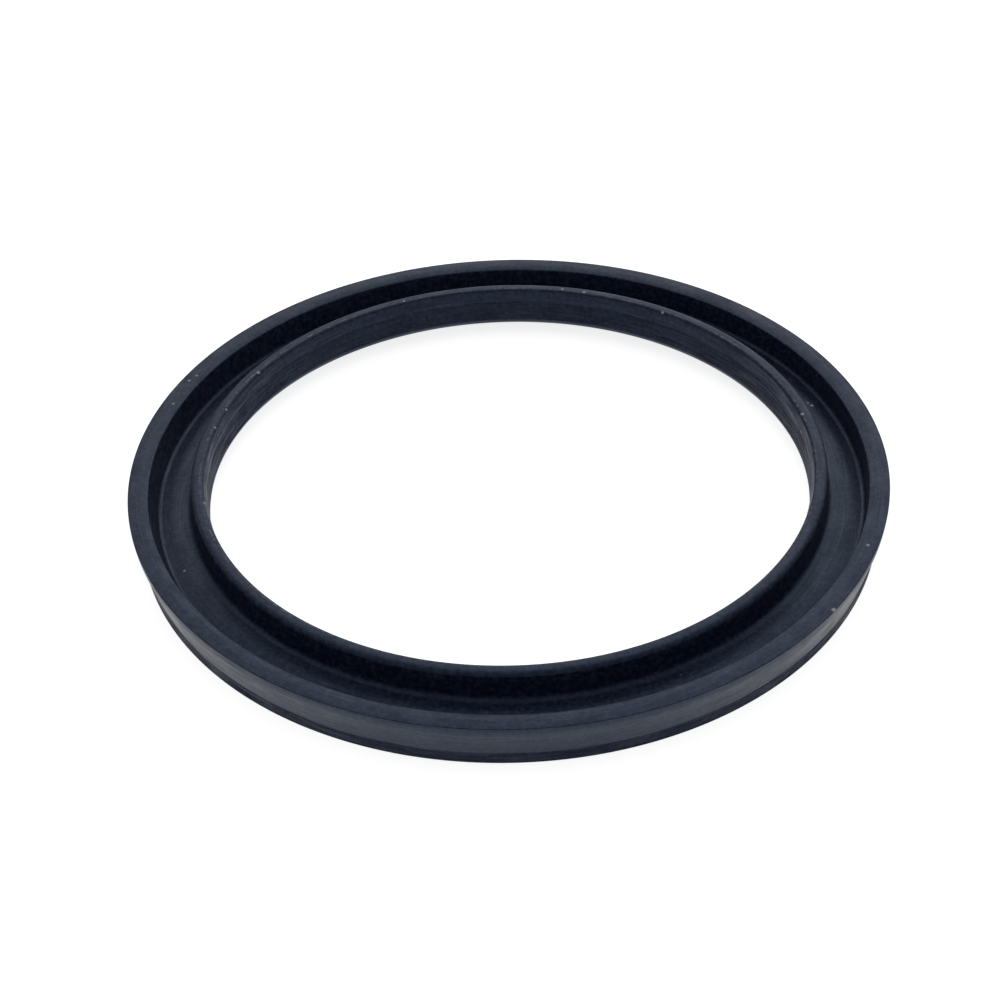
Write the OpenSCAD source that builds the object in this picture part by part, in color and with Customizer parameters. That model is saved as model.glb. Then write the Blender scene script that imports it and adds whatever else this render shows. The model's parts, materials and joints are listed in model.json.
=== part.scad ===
// Riser seal: a one-piece moulded rubber lip seal for a pop-up sprinkler riser.
// A flat ring with a U-shaped section: a heel at the bottom, a tall inner lip that
// wipes the riser, and a lower, flared outer lip that seals in the housing.
// Millimetres. Z is up, and is the seal's axis. The origin is at the middle of the
// flat heel face that the ring lies on, so the groove opens upwards.

/* [Rings] */
// Diameter of the bore's land, which slides on the riser
bore_d = 39.76; // [36:0.02:44]
// Radial width of the section, from the bore's land to the outer lip's edge
section_w = 5.12; // [4.9:0.02:6]
// How far the outer lip's edge stands out past the heel's outer wall
outer_flare = 0.55; // [0.3:0.05:0.9]

/* [Heel] */
// Height of the groove floor above the heel's face
floor_z = 1.84; // [1.5:0.02:2.2]
// Height of the heel's straight outer wall, where the flare starts
heel_wall_h = 0.85; // [0.6:0.05:1.4]
// Width of the bevel under the bore, measured along the heel's face
heel_bevel_w = 1.72; // [1:0.02:2.2]
// Radius of the heel's lower outer corner
heel_round = 0.08; // [0.04:0.01:0.3]

/* [Inner lip] */
// Height of the inner lip's tip, the tallest part of the ring
inner_lip_h = 3.81; // [3.6:0.01:4.2]
// Width of the inner lip where it leaves the groove floor
inner_root_w = 1.12; // [1:0.02:1.3]
// Width of the inner lip at its tip, over both roundings
inner_tip_w = 0.9; // [0.8:0.01:1]
// Radius of the inner lip's tip on its groove side
inner_tip_round = 0.32; // [0.15:0.01:0.4]
// Height at which the bore's land starts, above the heel's face
land_z = 1.65; // [1.4:0.05:1.8]
// Length of the bore's land
land_h = 1.19; // [0.9:0.01:1.4]
// How far the bore opens between the land and the tip
edge_open = 0.19; // [0.02:0.01:0.3]
// Radius of the inner lip's tip on its bore side
edge_round = 0.1; // [0.05:0.01:0.3]
// How far the bore opens between the land and the heel's bevel
relief_w = 0.02; // [0.01:0.005:0.1]
// Height at which that relief meets the heel's bevel
relief_z = 1.08; // [0.8:0.01:1.2]
// Radius between the relief and the heel's bevel
relief_round = 0.5; // [0.2:0.05:0.6]

/* [Outer lip] */
// Height of the outer lip's tip
outer_lip_h = 3.32; // [3:0.02:3.5]
// Width of the outer lip's tip
outer_tip_w = 1.32; // [1.1:0.02:1.4]
// Width of the part of the tip that falls away towards the groove
tip_fall_w = 0.5; // [0.3:0.05:0.6]
// How far it falls
tip_fall_h = 0.1; // [0.03:0.01:0.14]
// Radius of the outer lip's sealing edge
outer_edge_round = 0.05; // [0.03:0.01:0.2]
// Height of the sealing edge's own narrow wall, above the flared wall
lip_wall_h = 0.4; // [0.2:0.05:0.6]
// Radius between that wall and the flared wall
lip_wall_round = 0.5; // [0.2:0.05:0.6]
// Radius of the outer lip's edge on the groove side
outer_inner_round = 0.1; // [0.03:0.01:0.2]
// Width of the outer lip at the groove floor, from the heel's outer wall
outer_root_w = 1.2; // [1.05:0.01:1.5]

/* [Groove] */
// Radius between the groove floor and the inner lip
inner_floor_round = 0.25; // [0.1:0.05:0.6]
// Radius between the groove floor and the outer lip
outer_floor_round = 0.85; // [0.3:0.05:1]

/* [Hidden] */
$fn = 96;
bore_r = bore_d / 2;
lip_r = bore_r + section_w;
heel_r = lip_r - outer_flare;
edge_r = bore_r + edge_open;
tip_in_r = lip_r - outer_tip_w;

// The section's corners as [radius, height, rounding], anticlockwise from the heel.
outline = [
    [bore_r + heel_bevel_w, 0, 0],
    [heel_r, 0, heel_round],
    [heel_r, heel_wall_h, 0],
    [lip_r, outer_lip_h - lip_wall_h, lip_wall_round],
    [lip_r, outer_lip_h, outer_edge_round],
    [tip_in_r + tip_fall_w, outer_lip_h, 0],
    [tip_in_r, outer_lip_h - tip_fall_h, outer_inner_round],
    [heel_r - outer_root_w, floor_z, outer_floor_round],
    [bore_r + inner_root_w, floor_z, inner_floor_round],
    [edge_r + inner_tip_w, inner_lip_h, inner_tip_round],
    [edge_r, inner_lip_h, edge_round],
    [bore_r, land_z + land_h, 0],
    [bore_r, land_z, 0],
    [bore_r + relief_w, relief_z, relief_round]
];
corners = len(outline);
// Every disc at a corner is this much larger than its round, so that it crosses the
// two edges there and doesn't only touch them.
seam = 0.0002;

rubber = [0.03, 0.032, 0.036];

function corner(i) = let (c = outline[(i + corners) % corners]) [c[0], c[1]];
function rounding(i) = outline[i][2];
function toward(i, j) = (corner(j) - corner(i)) / norm(corner(j) - corner(i));
// Half of the angle that the two edges make at a corner
function half_angle(i) = acos(toward(i, i - 1) * toward(i, i + 1)) / 2;
// True where the section bulges out at the corner, false in the groove's corners
function bulges(i) = cross(toward(i, i - 1), toward(i, i + 1)) < 0;
// Distance from the corner to where its round meets each edge
function setback(i) = rounding(i) / tan(half_angle(i));
function middle(i) =
    let (bisector = toward(i, i - 1) + toward(i, i + 1))
    corner(i) + bisector / norm(bisector) * rounding(i) / sin(half_angle(i));

// What the polygon has at a corner: the corner itself, or the two ends of its round
function ends(i) =
    rounding(i) > 0
        ? [corner(i) + toward(i, i - 1) * setback(i), corner(i) + toward(i, i + 1) * setback(i)]
        : [corner(i)];

// One disc for every rounded corner on the stated side of the outline
module discs(outside) {
    for (i = [0 : corners - 1])
        if (rounding(i) > 0 && bulges(i) == outside)
            translate(middle(i)) circle(r = rounding(i) + seam);
}

// The U-shaped section: straight edges, with a true arc at each rounded corner
module section() {
    difference() {
        union() {
            polygon([for (i = [0 : corners - 1]) each ends(i)]);
            discs(true);
        }
        discs(false);
    }
}

module riser_seal() {
    color(rubber) rotate_extrude() section();
}

riser_seal();
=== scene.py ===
"""Riser seal: one ring of moulded black rubber, lying groove up on a white table.

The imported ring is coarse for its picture, so a finer one is turned here from the same
section and finished as moulded rubber. Metres, with the ring's axis on Z.
"""

import json
import math

import bpy
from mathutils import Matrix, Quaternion, Vector


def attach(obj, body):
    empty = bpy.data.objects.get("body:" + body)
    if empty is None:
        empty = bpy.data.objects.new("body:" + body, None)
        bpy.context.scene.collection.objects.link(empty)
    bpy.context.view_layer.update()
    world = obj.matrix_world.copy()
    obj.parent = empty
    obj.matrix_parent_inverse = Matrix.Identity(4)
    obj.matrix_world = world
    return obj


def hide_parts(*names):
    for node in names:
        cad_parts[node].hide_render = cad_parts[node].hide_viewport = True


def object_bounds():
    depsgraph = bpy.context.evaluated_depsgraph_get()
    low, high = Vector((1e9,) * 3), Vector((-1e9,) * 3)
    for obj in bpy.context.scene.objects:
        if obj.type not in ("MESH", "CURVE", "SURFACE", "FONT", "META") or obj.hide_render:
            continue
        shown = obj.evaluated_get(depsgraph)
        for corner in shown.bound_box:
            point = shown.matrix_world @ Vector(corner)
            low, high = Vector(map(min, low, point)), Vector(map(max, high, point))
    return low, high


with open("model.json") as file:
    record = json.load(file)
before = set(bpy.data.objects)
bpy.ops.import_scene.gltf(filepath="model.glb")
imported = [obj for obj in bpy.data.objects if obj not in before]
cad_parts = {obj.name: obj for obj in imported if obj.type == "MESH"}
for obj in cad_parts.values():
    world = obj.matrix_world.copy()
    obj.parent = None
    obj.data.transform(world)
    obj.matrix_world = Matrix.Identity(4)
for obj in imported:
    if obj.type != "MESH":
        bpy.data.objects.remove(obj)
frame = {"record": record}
cad_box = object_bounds()

MM = 0.001

# The section's sizes. The outside, the bore's land and the heel's wall come from the
# packed ring. The rest are the source's named sizes, with some rounds made softer.
MOUNTS = {mount["name"]: mount for mount in frame["record"]["mounts"]}
LIP_R = cad_box[1].x
BORE_R = MOUNTS["bore"]["dims"]["r_mm"] * MM
HEEL_R = MOUNTS["heel_wall"]["dims"]["r_mm"] * MM
LAND_H = MOUNTS["bore"]["dims"]["length_mm"] * MM
LAND_Z = MOUNTS["bore"]["pos_m"][2] - LAND_H / 2
# Heel, and the bore below its land
HEEL_WALL_H = 0.85 * MM
HEEL_BEVEL_W = 1.72 * MM
HEEL_ROUND = 0.08 * MM
RELIEF_W = 0.02 * MM
RELIEF_Z = 1.08 * MM
RELIEF_ROUND = 0.5 * MM
# Below the land, this much of the bore is as dull as the land
LOW_RIM = 0.22 * MM
# Inner lip, and the bore above its land
INNER_LIP_H = 3.81 * MM
INNER_ROOT_W = 1.12 * MM
INNER_TIP_W = 0.85 * MM
INNER_TIP_ROUND = 0.32 * MM
EDGE_OPEN = 0.19 * MM
EDGE_ROUND = 0.22 * MM
OPEN_ROUND = 2.8 * MM
EDGE_R = BORE_R + EDGE_OPEN
# Outer lip
OUTER_LIP_H = 3.32 * MM
OUTER_TIP_W = 1.32 * MM
OUTER_EDGE_ROUND = 0.05 * MM
OUTER_INNER_ROUND = 0.1 * MM
OUTER_ROOT_W = 1.2 * MM
TIP_FALL_W = 0.5 * MM
TIP_FALL_H = 0.1 * MM
TIP_FALL_ROUND = 2.0 * MM
LIP_WALL_H = 0.4 * MM
LIP_WALL_ROUND = 2.5 * MM
# Groove: its floor falls away towards the outer lip, into a rounded foot
FLOOR_Z = 1.84 * MM
INNER_FLOOR_ROUND = 0.4 * MM
FLOOR_FALL_W = 1.15 * MM
FLOOR_FALL_H = 0.3 * MM
FLOOR_FALL_ROUND = 3.0 * MM
FOOT_ROUND = 0.3 * MM
FOOT_OUT = 0.13 * MM
FOOT_R = HEEL_R - OUTER_ROOT_W + FOOT_OUT
# A radius on the groove's floor, just past the inner lip's fillet
MID_GROOVE = BORE_R + INNER_ROOT_W + INNER_FLOOR_ROUND
# The real ring's core sat a little off the middle, to the right and to the front
BORE_OFF = Vector((0.06, -0.06, 0)) * MM
FLOOR_OFF = Vector((0.15, -0.05, 0)) * MM

# How finely the ring is turned, and the angle from which an edge stays sharp
STEPS_ROUND = 480
STEPS_IN_A_ROUND = 5
SHARP_FROM = math.radians(24)
SAME_PLACE = 0.002 * MM
MERGE_WITHIN = 0.001 * MM

# The camera that took the photograph, from a fit of the ring's own edges
CAMERA_DISTANCE = 137.5 * MM
CAMERA_ELEVATION = math.radians(38.643)
CAMERA_ROLL = math.radians(-1.841)
AIM = Vector((-0.583, 0.009, 0)) * MM
FOCAL_PIXELS = 2045.155
IMAGE_PIXELS = 1000
SENSOR_MM = 36
NEAREST_SEEN = 1 * MM

# Rubber: its black, its lighter mottling, a pale bluish lift that is a painted reflection of the
# white table where the sheen is turned down, the grey of flash and lint, and the blue cast of
# its sheen
BLACK = (0.0022, 0.0022, 0.0135, 1)
MOTTLE = (0.026, 0.029, 0.056, 1)
PAINTED_REFLECTION_TINT = (0.8, 1.0, 1.4, 0)
PALE = (0.36, 0.38, 0.4, 1)
SHEEN_CAST = (0.45, 0.67, 1.0, 1)
RUBBER_IOR = 1.5
# Its noises, in waves to the metre: fine grain, mottling and soft clouds
GRAIN_SCALE = 9000.0
MOTTLE_SCALE = 3200.0
CLOUD_SCALE = 500.0
# The part of a noise's range over which the mottling, the clouds or lines, and the gaps
# in the flash come up
MOTTLE_SPAN = (0.4, 0.75)
SOFT_SPAN = (0.3, 0.7)
GAP_SPAN = (0.4, 0.65)
# The grain's highest peaks are dust, this pale. Clouds change the roughness this much.
DUST_SPAN = (0.68, 0.78)
DUST_PALE = 0.5
CLOUD_SMOOTHER = -0.03
CLOUD_ROUGHER = 0.05
# Mould lines run round the ring: the noise changes fast across them, slowly along them
LINES_ACROSS = 9000.0
LINES_ALONG = 350.0
LINES_DEPTH = 0.8
BUMP_STRENGTH = 0.5
BUMP_DEPTH = 0.02 * MM
# The broken line of flash on the inner lip's tip
FLASH_R = 20.25 * MM
FLASH_W = 0.09 * MM
FLASH_DEPTH = 0.08 * MM
FLASH_FINE = 0.5
FLASH_COARSE = 0.8
# A spot is solid out to this share of its radius, and then fades
SPOT_CORE = 0.4
# Lint and crumbs that the photograph shows: pixel x, pixel y, height in mm, radius in mm
LINT = [
    (258.3, 372.5, 3.8, 0.17),
    (226.7, 409.2, 3.8, 0.13),
    (215.0, 427.5, 3.8, 0.12),
    (189.2, 380.8, 3.3, 0.14),
    (196.7, 375.8, 3.3, 0.13),
    (173.3, 403.7, 3.3, 0.12),
    (404.0, 301.0, 3.81, 0.13),
    (184.0, 570.0, 1.84, 0.16),
    (205.0, 503.0, 3.75, 0.16),
    (562.5, 289.0, 3.81, 0.14),
    (584.0, 292.0, 3.81, 0.17),
    (662.5, 312.5, 3.77, 0.14),
    (612.5, 322.5, 1.7, 0.13),
    (802.4, 413.9, 3.81, 0.17),
    (800.7, 431.7, 3.05, 0.16),
    (811.0, 450.7, 3.68, 0.13),
    (812.0, 405.0, 1.84, 0.18),
    (834.0, 610.0, 3.3, 0.21),
    (868.0, 545.0, 3.32, 0.15),
    (808.0, 402.5, 1.84, 0.12),
]
# Dull marks in the bore: pixel x, pixel y, height in mm, radius in mm, stretch upwards
MARKS = [
    (427.0, 319.0, 2.1, 0.16, 4.0),
    (773.0, 413.0, 1.35, 0.13, 6.0),
]

# Light: a white room, dark near the floor but for its front, dimmer behind the camera,
# and a soft window behind the ring, a little to the right. A share is of the room's full
# strength, and the places are heights (low) or ways forward (near and front), from -1 to 1.
ROOM_STRENGTH = 0.62
LOW_SHARE = 0.1
LOW_TOP = 0.75
NEAR_SHARE = 0.55
NEAR_FROM = -0.6
NEAR_TO = 0.35
FRONT_SHARE = 0.5
FRONT_FROM = -0.9
FRONT_TO = -0.3
WINDOW_STRENGTH = 0.88
WINDOW_ELEVATION = math.radians(26)
WINDOW_AZIMUTH = math.radians(11)
WINDOW_HALF = math.radians(41)
TABLE_SIZE = 40 * LIP_R
TABLE_WHITE = 0.85
TABLE_SEEN = 0.8
# The table lies this much below the heel's face, so that the two don't fight
TABLE_GAP = 0.01 * MM


def select_ring(obj, radius, height):
    """Selects the round edge at one corner of the section, and nothing else."""
    bpy.ops.object.mode_set(mode="OBJECT")
    points = obj.data.vertices
    on = [
        abs(math.hypot(v.co.x, v.co.y) - radius) < SAME_PLACE
        and abs(v.co.z - height) < SAME_PLACE
        for v in points
    ]
    for v in points:
        v.select = on[v.index]
    for edge in obj.data.edges:
        edge.select = all(on[i] for i in edge.vertices)
    for face in obj.data.polygons:
        face.select = False
    bpy.ops.object.mode_set(mode="EDIT")


def setback(before, corner, after, rounding):
    """How far from a corner its round meets the two edges."""
    a = (Vector(before[:2]) - Vector(corner[:2])).normalized()
    b = (Vector(after[:2]) - Vector(corner[:2])).normalized()
    return rounding / math.tan(a.angle(b) / 2)


def turn_ring():
    """The seal's body: the section's corners drawn round as rings, then rounded."""
    section = [
        (BORE_R + HEEL_BEVEL_W, 0, 0),
        (HEEL_R, 0, HEEL_ROUND),
        (HEEL_R, HEEL_WALL_H, 0),
        (LIP_R, OUTER_LIP_H - LIP_WALL_H, LIP_WALL_ROUND),
        (LIP_R, OUTER_LIP_H, OUTER_EDGE_ROUND),
        (LIP_R - OUTER_TIP_W + TIP_FALL_W, OUTER_LIP_H, TIP_FALL_ROUND),
        (LIP_R - OUTER_TIP_W, OUTER_LIP_H - TIP_FALL_H, OUTER_INNER_ROUND),
        (FOOT_R, FLOOR_Z - FLOOR_FALL_H, FOOT_ROUND),
        (FOOT_R - FLOOR_FALL_W, FLOOR_Z, FLOOR_FALL_ROUND),
        (BORE_R + INNER_ROOT_W, FLOOR_Z, INNER_FLOOR_ROUND),
        (EDGE_R + INNER_TIP_W, INNER_LIP_H, INNER_TIP_ROUND),
        (EDGE_R, INNER_LIP_H, EDGE_ROUND),
        (BORE_R, LAND_Z + LAND_H, OPEN_ROUND),
        (BORE_R, LAND_Z, 0),
        (BORE_R + RELIEF_W, RELIEF_Z, RELIEF_ROUND),
    ]
    bpy.ops.object.select_all(action="DESELECT")
    bpy.ops.mesh.primitive_circle_add(vertices=STEPS_ROUND, radius=section[0][0])
    ring = bpy.context.object
    ring.name = "seal_body"
    bpy.ops.object.mode_set(mode="EDIT")
    bpy.ops.mesh.select_all(action="SELECT")
    last = section[0]
    for corner in section[1:] + section[:1]:
        wider = corner[0] / last[0]
        rise = (0, 0, corner[1] - last[1])
        bpy.ops.mesh.extrude_region_move(TRANSFORM_OT_translate={"value": rise})
        bpy.ops.transform.resize(value=(wider, wider, 1))
        last = corner
    bpy.ops.mesh.select_all(action="SELECT")
    bpy.ops.mesh.remove_doubles(threshold=MERGE_WITHIN)
    bpy.ops.mesh.normals_make_consistent(inside=False)
    for i, (radius, height, rounding) in enumerate(section):
        if rounding:
            select_ring(ring, radius, height)
            after = section[(i + 1) % len(section)]
            reach = setback(section[i - 1], section[i], after, rounding)
            bpy.ops.mesh.bevel(
                offset=reach,
                offset_type="OFFSET",
                segments=STEPS_IN_A_ROUND,
                profile=0.5,
                affect="EDGES",
                clamp_overlap=False,
            )
    bpy.ops.object.mode_set(mode="OBJECT")
    bpy.ops.object.select_all(action="DESELECT")
    ring.select_set(True)
    bpy.context.view_layer.objects.active = ring
    bpy.ops.object.shade_smooth_by_angle(angle=SHARP_FROM)
    return ring


def satin_rubber():
    """The moulded skin, which most of the ring has."""
    return black_rubber("satin_rubber", smoothest=0.38, roughest=0.5, shine=0.52, painted_reflection=0.0)


def dull_rubber():
    """The heel's wall and the bore's land, the dullest of all, with a painted reflection of the
    table lifting its colour.
    """
    return black_rubber("dull_rubber", smoothest=0.5, roughest=0.85, shine=0.2, painted_reflection=0.023)


def wiped_rubber():
    """The bore's opening, above the land, with a painted reflection of the table lifting its
    colour.
    """
    return black_rubber("wiped_rubber", smoothest=0.4, roughest=0.75, shine=0.36, painted_reflection=0.024)


def glossy_rubber():
    """The flare and the upright wall over it, the smoothest skin."""
    return black_rubber("glossy_rubber", smoothest=0.3, roughest=0.46, shine=0.42, painted_reflection=0.0)


def dress_ring(ring):
    """Four finishes, each face's by its place on the section."""
    satin, dull, wiped, glossy = range(4)
    for material in [satin_rubber(), dull_rubber(), wiped_rubber(), glossy_rubber()]:
        ring.data.materials.append(material)
    land_top = LAND_Z + LAND_H
    for face in ring.data.polygons:
        height = face.center.z
        radius = math.hypot(face.center.x, face.center.y)
        if height < HEEL_WALL_H and radius > HEEL_R - HEEL_ROUND:
            face.material_index = dull
        elif radius < BORE_R + RELIEF_W and LAND_Z - LOW_RIM < height < land_top:
            face.material_index = dull
        elif height > land_top and radius < EDGE_R:
            face.material_index = wiped
        elif HEEL_WALL_H < height < OUTER_LIP_H - OUTER_EDGE_ROUND and radius > HEEL_R:
            face.material_index = glossy
        else:
            face.material_index = satin


def move_off_centre(ring):
    """Shifts the bore with its lip, and the groove's outer foot, as the real core sat."""
    bpy.ops.object.mode_set(mode="EDIT")
    bpy.ops.mesh.select_mode(type="VERT")
    for inner, outer, top, off in [
        (0, MID_GROOVE, INNER_LIP_H, BORE_OFF),
        (MID_GROOVE, LIP_R - OUTER_TIP_W, (OUTER_LIP_H + FLOOR_Z) / 2, FLOOR_OFF),
    ]:
        bpy.ops.mesh.select_all(action="DESELECT")
        bpy.ops.object.mode_set(mode="OBJECT")
        for v in ring.data.vertices:
            between = inner <= math.hypot(v.co.x, v.co.y) < outer
            v.select = between and HEEL_ROUND < v.co.z <= top
        bpy.ops.object.mode_set(mode="EDIT")
        bpy.ops.transform.translate(value=off)
    bpy.ops.object.mode_set(mode="OBJECT")


def node(tree, kind, **inputs):
    """A shader node with the given input values, or links where a socket is given."""
    made = tree.nodes.new(kind)
    for name, value in inputs.items():
        socket = made.inputs[name.replace("_", " ")]
        if isinstance(value, bpy.types.NodeSocket):
            tree.links.new(value, socket)
        else:
            socket.default_value = value
    return made


def fade(tree, value, start, end, first, last):
    """A value that eases from first to last while the input goes from start to end."""
    made = tree.nodes.new("ShaderNodeMapRange")
    made.interpolation_type = "SMOOTHSTEP"
    made.inputs["From Min"].default_value = start
    made.inputs["From Max"].default_value = end
    made.inputs["To Min"].default_value = first
    made.inputs["To Max"].default_value = last
    tree.links.new(value, made.inputs["Value"])
    return made.outputs["Result"]


def combine(tree, operation, one, other):
    """A Math node's result from a socket and another socket or a number."""
    made = tree.nodes.new("ShaderNodeMath")
    made.operation = operation
    for given, socket in zip((one, other), made.inputs):
        if isinstance(given, bpy.types.NodeSocket):
            tree.links.new(given, socket)
        else:
            socket.default_value = given
    return made.outputs["Value"]


def spot(tree, place, centre, size, tall=1.0):
    """1 at the middle of a small spot, 0 outside it; tall stretches it upwards."""
    off = tree.nodes.new("ShaderNodeVectorMath")
    off.operation = "SUBTRACT"
    tree.links.new(place, off.inputs[0])
    off.inputs[1].default_value = centre
    squeezed = tree.nodes.new("ShaderNodeVectorMath")
    squeezed.operation = "MULTIPLY"
    tree.links.new(off.outputs["Vector"], squeezed.inputs[0])
    squeezed.inputs[1].default_value = (1, 1, 1 / tall)
    far = tree.nodes.new("ShaderNodeVectorMath")
    far.operation = "LENGTH"
    tree.links.new(squeezed.outputs["Vector"], far.inputs[0])
    return fade(tree, far.outputs["Value"], SPOT_CORE * size, size, 1.0, 0.0)


def seen_at(x, y, height):
    """The point at the given height that the photograph shows at pixel x, y."""
    camera = bpy.context.scene.camera
    across = (x - IMAGE_PIXELS / 2) / FOCAL_PIXELS
    up = (IMAGE_PIXELS / 2 - y) / FOCAL_PIXELS
    way = camera.rotation_quaternion @ Vector((across, up, -1))
    return camera.location + way * ((height - camera.location.z) / way.z)


def noise(tree, vector, scale, detail=3.0):
    """A noise's value at the given vector."""
    made = node(tree, "ShaderNodeTexNoise", Vector=vector, Scale=scale, Detail=detail)
    return made.outputs["Fac"]


def out_from_axis(tree, x, y):
    """A point's distance from the ring's axis."""
    flat = node(tree, "ShaderNodeCombineXYZ", X=x, Y=y)
    out = tree.nodes.new("ShaderNodeVectorMath")
    out.operation = "LENGTH"
    tree.links.new(flat.outputs["Vector"], out.inputs[0])
    return out.outputs["Value"]


def mould_lines(tree, x, y, z, radius):
    """Fine lines that run round the ring."""
    both = combine(tree, "ADD", radius, z)
    stretched = node(
        tree,
        "ShaderNodeCombineXYZ",
        X=combine(tree, "MULTIPLY", x, LINES_ALONG),
        Y=combine(tree, "MULTIPLY", y, LINES_ALONG),
        Z=combine(tree, "MULTIPLY", both, LINES_ACROSS),
    )
    return noise(tree, stretched.outputs["Vector"], 1.0, detail=2.0)


def flash_line(tree, radius, z, mottle, cloud):
    """The broken line of flash on the inner lip's tip."""
    off = combine(tree, "ABSOLUTE", combine(tree, "SUBTRACT", radius, FLASH_R), 0.0)
    flash = fade(tree, off, 0.0, FLASH_W, 1.0, 0.0)
    on_tip = fade(tree, z, INNER_LIP_H - FLASH_DEPTH, INNER_LIP_H, 0.0, 1.0)
    flash = combine(tree, "MULTIPLY", flash, on_tip)
    flash = combine(tree, "MULTIPLY", flash, fade(tree, mottle, *GAP_SPAN, 0.0, FLASH_FINE))
    return combine(tree, "MULTIPLY", flash, fade(tree, cloud, *GAP_SPAN, 0.0, FLASH_COARSE))


def most_of(tree, place, spots):
    """All the listed spots in one value. Each is pixel x, y, height, size and stretch."""
    most = None
    for x, y, height, size, *tall in spots:
        one = spot(tree, place, seen_at(x, y, height * MM), size * MM, *tall)
        most = one if most is None else combine(tree, "MAXIMUM", most, one)
    return most


def mottled_black(tree, mottle, pale, painted_reflection):
    """The rubber's colour: black with lighter mottling, lifted where asked by a painted
    reflection of the table, and grey where pale is 1.
    """
    shade = tree.nodes.new("ShaderNodeValToRGB")
    for end, position, colour in zip(shade.color_ramp.elements, MOTTLE_SPAN, (BLACK, MOTTLE)):
        end.position = position
        # The lift towards pale blue is a painted reflection of the table
        end.color = [c + painted_reflection * b for c, b in zip(colour, PAINTED_REFLECTION_TINT)]
    tree.links.new(mottle, shade.inputs["Fac"])
    mixed = tree.nodes.new("ShaderNodeMix")
    mixed.data_type = "RGBA"
    tree.links.new(pale, mixed.inputs["Factor"])
    tree.links.new(shade.outputs["Color"], mixed.inputs["A"])
    mixed.inputs["B"].default_value = PALE
    return mixed.outputs["Result"]


def black_rubber(name, smoothest, roughest, shine, painted_reflection):
    """Moulded rubber: near black, a dull sheen, mould lines, flash, lint and marks.

    Its last argument is how much paler than new black rubber it is: a painted reflection of the
    white table, standing in for the sheen that shine turns down.
    """
    material = bpy.data.materials.new(name)
    material.use_nodes = True
    tree = material.node_tree
    shader = tree.nodes["Principled BSDF"]
    place = tree.nodes.new("ShaderNodeTexCoord").outputs["Object"]
    x, y, z = node(tree, "ShaderNodeSeparateXYZ", Vector=place).outputs
    radius = out_from_axis(tree, x, y)
    grain = noise(tree, place, GRAIN_SCALE)
    mottle = noise(tree, place, MOTTLE_SCALE)
    cloud = noise(tree, place, CLOUD_SCALE)
    lines = mould_lines(tree, x, y, z, radius)

    # Colour, with the flash, dust and lint
    dust = fade(tree, grain, *DUST_SPAN, 0.0, DUST_PALE)
    flash = flash_line(tree, radius, z, mottle, cloud)
    pale = combine(tree, "MAXIMUM", flash, dust)
    pale = combine(tree, "MAXIMUM", pale, most_of(tree, place, LINT))
    tree.links.new(mottled_black(tree, mottle, pale, painted_reflection), shader.inputs["Base Color"])

    # Finish: rougher in the mould lines and clouds, dull in the marks and pale things
    dull = fade(tree, lines, *SOFT_SPAN, smoothest, roughest)
    clouds = fade(tree, cloud, *SOFT_SPAN, CLOUD_SMOOTHER, CLOUD_ROUGHER)
    dull = combine(tree, "ADD", dull, clouds)
    marks = most_of(tree, place, MARKS)
    dull = combine(tree, "MAXIMUM", dull, combine(tree, "MAXIMUM", marks, pale))
    tree.links.new(dull, shader.inputs["Roughness"])
    relief = combine(tree, "ADD", grain, combine(tree, "MULTIPLY", lines, LINES_DEPTH))
    bump = node(
        tree, "ShaderNodeBump", Strength=BUMP_STRENGTH, Distance=BUMP_DEPTH, Height=relief
    )
    tree.links.new(bump.outputs["Normal"], shader.inputs["Normal"])
    shader.inputs["IOR"].default_value = RUBBER_IOR
    shader.inputs["Specular IOR Level"].default_value = shine
    shader.inputs["Specular Tint"].default_value = SHEEN_CAST
    return material


def white_table():
    """The table: white, and burnt out to the camera but for the ring's shadow."""
    material = bpy.data.materials.new("white_table")
    material.use_nodes = True
    tree = material.node_tree
    tree.nodes.clear()
    paint = node(tree, "ShaderNodeBsdfDiffuse", Color=(TABLE_WHITE, TABLE_WHITE, TABLE_WHITE, 1))
    path = tree.nodes.new("ShaderNodeLightPath")
    seen = combine(tree, "ADD", path.outputs["Is Camera Ray"], path.outputs["Is Glossy Ray"])
    level = combine(tree, "MULTIPLY", seen, TABLE_SEEN)
    glow = node(tree, "ShaderNodeEmission", Color=(1, 1, 1, 1), Strength=level)
    both = tree.nodes.new("ShaderNodeAddShader")
    tree.links.new(paint.outputs["BSDF"], both.inputs[0])
    tree.links.new(glow.outputs["Emission"], both.inputs[1])
    # From below it is clear, so that the heel's face can be seen
    side = tree.nodes.new("ShaderNodeNewGeometry").outputs["Backfacing"]
    clear = tree.nodes.new("ShaderNodeBsdfTransparent")
    sided = tree.nodes.new("ShaderNodeMixShader")
    tree.links.new(side, sided.inputs[0])
    tree.links.new(both.outputs["Shader"], sided.inputs[1])
    tree.links.new(clear.outputs["BSDF"], sided.inputs[2])
    out = tree.nodes.new("ShaderNodeOutputMaterial")
    tree.links.new(sided.outputs["Shader"], out.inputs["Surface"])
    return material


def lay_table():
    """A white table top under the ring, large enough to fill every view."""
    bpy.ops.object.select_all(action="DESELECT")
    bpy.ops.mesh.primitive_plane_add(size=TABLE_SIZE, location=(0, 0, -TABLE_GAP))
    table = bpy.context.object
    table.name = "table_top"
    table.data.materials.append(white_table())


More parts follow.
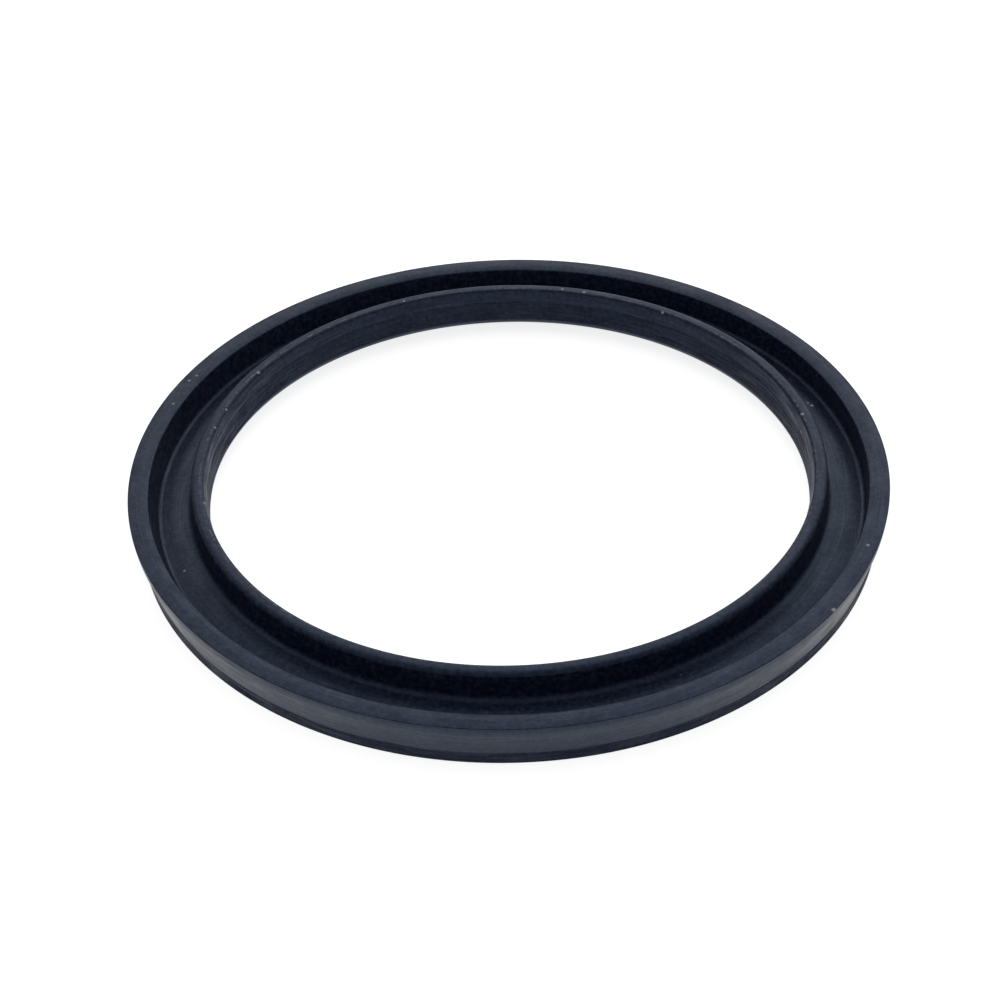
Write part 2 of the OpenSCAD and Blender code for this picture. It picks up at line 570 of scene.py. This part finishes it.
def light_room():
    """The room and its window. The camera itself sees them as pure white."""
    world = bpy.context.scene.world or bpy.data.worlds.new("room")
    bpy.context.scene.world = world
    world.use_nodes = True
    tree = world.node_tree
    tree.nodes.clear()
    path = tree.nodes.new("ShaderNodeLightPath")
    way = tree.nodes.new("ShaderNodeTexCoord").outputs["Generated"]
    x, y, z = node(tree, "ShaderNodeSeparateXYZ", Vector=way).outputs
    low = fade(tree, z, 0.0, LOW_TOP, LOW_SHARE, 1.0)
    near = fade(tree, y, NEAR_FROM, NEAR_TO, NEAR_SHARE, 1.0)
    side = combine(tree, "MULTIPLY", low, near)
    front = fade(tree, y, FRONT_FROM, FRONT_TO, FRONT_SHARE, 0.0)
    side = combine(tree, "MULTIPLY", combine(tree, "MAXIMUM", side, front), ROOM_STRENGTH)
    window = tree.nodes.new("ShaderNodeVectorMath")
    window.operation = "DOT_PRODUCT"
    tree.links.new(way, window.inputs[0])
    across = math.cos(WINDOW_ELEVATION)
    window.inputs[1].default_value = (
        across * math.sin(WINDOW_AZIMUTH),
        across * math.cos(WINDOW_AZIMUTH),
        math.sin(WINDOW_ELEVATION),
    )
    toward = window.outputs["Value"]
    shine = fade(tree, toward, math.cos(WINDOW_HALF), 1.0, 0.0, WINDOW_STRENGTH)
    side = combine(tree, "ADD", side, shine)
    strength = tree.nodes.new("ShaderNodeMapRange")
    tree.links.new(side, strength.inputs["To Min"])
    strength.inputs["To Max"].default_value = 1.0
    tree.links.new(path.outputs["Is Camera Ray"], strength.inputs["Value"])
    level = strength.outputs["Result"]
    back = node(tree, "ShaderNodeBackground", Color=(1, 1, 1, 1), Strength=level)
    out = tree.nodes.new("ShaderNodeOutputWorld")
    tree.links.new(back.outputs["Background"], out.inputs["Surface"])


def set_camera():
    """The camera where the photograph was taken from."""
    data = bpy.data.cameras.new("camera")
    data.sensor_width = SENSOR_MM
    data.lens = FOCAL_PIXELS / IMAGE_PIXELS * SENSOR_MM
    data.clip_start = NEAREST_SEEN
    camera = bpy.data.objects.new("camera", data)
    bpy.context.scene.collection.objects.link(camera)
    camera.location = (
        0,
        -CAMERA_DISTANCE * math.cos(CAMERA_ELEVATION),
        CAMERA_DISTANCE * math.sin(CAMERA_ELEVATION),
    )
    camera.rotation_mode = "QUATERNION"
    looking = (AIM - camera.location).to_track_quat("-Z", "Y")
    camera.rotation_quaternion = looking @ Quaternion((0, 0, 1), CAMERA_ROLL)
    bpy.context.scene.camera = camera


bpy.context.scene.view_settings.view_transform = "Standard"
set_camera()
light_room()
lay_table()
seal = turn_ring()
dress_ring(seal)
move_off_centre(seal)
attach(seal, "root")
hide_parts("riser_seal")
